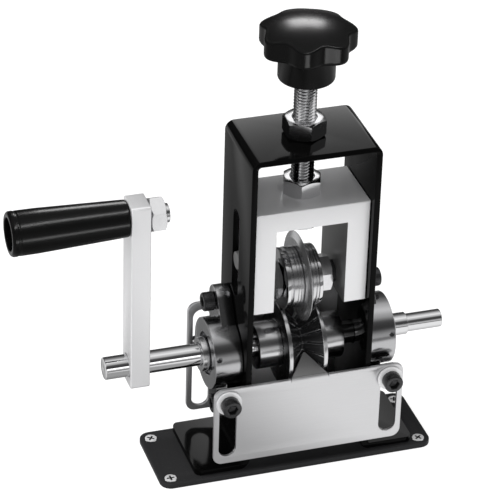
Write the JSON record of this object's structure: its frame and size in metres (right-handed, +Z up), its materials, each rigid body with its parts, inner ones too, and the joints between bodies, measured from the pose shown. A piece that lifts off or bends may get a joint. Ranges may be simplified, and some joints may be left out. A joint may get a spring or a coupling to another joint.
{
  "type": "hand crank wire stripper",
  "caption": "Bench cable stripper: hand crank turns a grooved feed roller under a round blade that a knobbed screw raises and lowers in a strap frame.",
  "frame": {"origin": "on the underside of the base plate, straight below the adjusting screw's axis", "axes": "+Z up, +X along the drive shaft away from the crank, -Y the front where the cable comes out"},
  "size_m": [0.2369, 0.0672, 0.2542],
  "materials": {
    "black_paint": "glossy",
    "white_paint": "satin",
    "bright_steel": "polished",
    "satin_steel": "satin",
    "zinc": "zinc plated",
    "brushed_plate": "brushed",
    "white_zinc": "bright zinc",
    "black_oxide": "black oxide",
    "gloss_black_plastic": "glossy",
    "satin_black_plastic": "satin",
    "bronze": "turned"
  },
  "bodies": {
    "frame": {"base_plate": "black_paint", "frame_strap": "black_paint", "top_nut": "zinc", "base_screw_1": "white_zinc", "base_screw_2": "white_zinc", "base_screw_3": "white_zinc", "base_screw_4": "white_zinc", "bearing_housing_left": "satin_steel", "bearing_housing_right": "satin_steel", "bearing_outer_ring_left": "bright_steel", "bearing_outer_ring_right": "bright_steel", "housing_bolt_left_lower": "black_oxide", "housing_bolt_left_upper": "black_oxide", "housing_bolt_right_lower": "black_oxide", "housing_bolt_right_upper": "black_oxide", "plate_lug_back_left": "black_paint", "plate_lug_back_right": "black_paint", "plate_lug_front_left": "black_paint", "plate_lug_front_right": "black_paint", "plate_screw_back_left": "black_oxide", "plate_screw_back_right": "black_oxide", "plate_screw_front_left": "black_oxide", "plate_screw_front_right": "black_oxide", "plate_washer_back_left": "white_zinc", "plate_washer_back_right": "white_zinc", "plate_washer_front_left": "white_zinc", "plate_washer_front_right": "white_zinc"},
    "drive": {"drive_shaft": "bright_steel", "feed_roller": "bright_steel", "roller_set_screw": "black_oxide", "crank_arm": "white_paint", "arm_set_screw": "black_oxide", "handle_bolt": "zinc", "handle_nut": "zinc", "bearing_inner_ring_left": "bright_steel", "bearing_inner_ring_right": "bright_steel", "shaft_collar_left": "satin_steel", "shaft_collar_right": "satin_steel"},
    "grip": {"handle_grip": "satin_black_plastic"},
    "cage_left": {"ball_cage_left": "bright_steel"},
    "cage_right": {"ball_cage_right": "bright_steel"},
    "yoke": {"yoke": "white_paint", "guide_pin_left": "zinc", "guide_pin_right": "zinc", "blade_axle": "black_oxide", "axle_nut_left": "zinc", "axle_nut_right": "zinc", "thrust_ring_left": "bright_steel", "thrust_ring_right": "bright_steel", "blade_bush": "bronze"},
    "blade": {"cutting_blade": "bright_steel", "clamp_ring_left": "bright_steel", "clamp_ring_right": "bright_steel"},
    "screw": {"adjusting_screw": "zinc", "star_knob": "gloss_black_plastic", "lower_nut": "zinc", "screw_retainer": "bright_steel"},
    "front_plate": {"front_guide_plate": "brushed_plate"},
    "back_plate": {"back_guide_plate": "brushed_plate"}
  },
  "joints": [
    {"name": "crank_spin", "type": "hinge", "parent": "frame", "child": "drive", "pos_m": [0, 0, 0.0648], "axis": [1, 0, 0], "continuous": true},
    {"name": "grip_spin", "type": "hinge", "parent": "drive", "child": "grip", "pos_m": [-0.12, 0, 0.1542], "axis": [1, 0, 0], "continuous": true},
    {"name": "cage_left_spin", "type": "hinge", "parent": "frame", "child": "cage_left", "pos_m": [-0.0393, 0, 0.0648], "axis": [1, 0, 0], "continuous": true},
    {"name": "cage_right_spin", "type": "hinge", "parent": "frame", "child": "cage_right", "pos_m": [0.0393, 0, 0.0648], "axis": [1, 0, 0], "continuous": true},
    {"name": "screw_turn", "type": "hinge", "parent": "yoke", "child": "screw", "pos_m": [0, 0, 0.17], "axis": [0, 0, 1], "range_deg": [-166.1, 4119.3]},
    {"name": "yoke_slide", "type": "slide", "parent": "frame", "child": "yoke", "axis": [0, 0, 1], "range_m": [-0.0008, 0.02]},
    {"name": "blade_spin", "type": "hinge", "parent": "yoke", "child": "blade", "pos_m": [0, 0, 0.1048], "axis": [1, 0, 0], "continuous": true},
    {"name": "front_plate_slide", "type": "slide", "parent": "frame", "child": "front_plate", "axis": [0, 0, 1], "range_m": [0, 0.018]},
    {"name": "back_plate_slide", "type": "slide", "parent": "frame", "child": "back_plate", "axis": [0, 0, 1], "range_m": [-0.0237, 0.0195]}
  ],
  "couplings": [
    {"joint": "screw_turn", "follows": "yoke_slide", "rad_per_m": 3590.4},
    {"joint": "cage_left_spin", "follows": "crank_spin", "ratio": 0.39},
    {"joint": "cage_right_spin", "follows": "crank_spin", "ratio": 0.39}
  ]
}
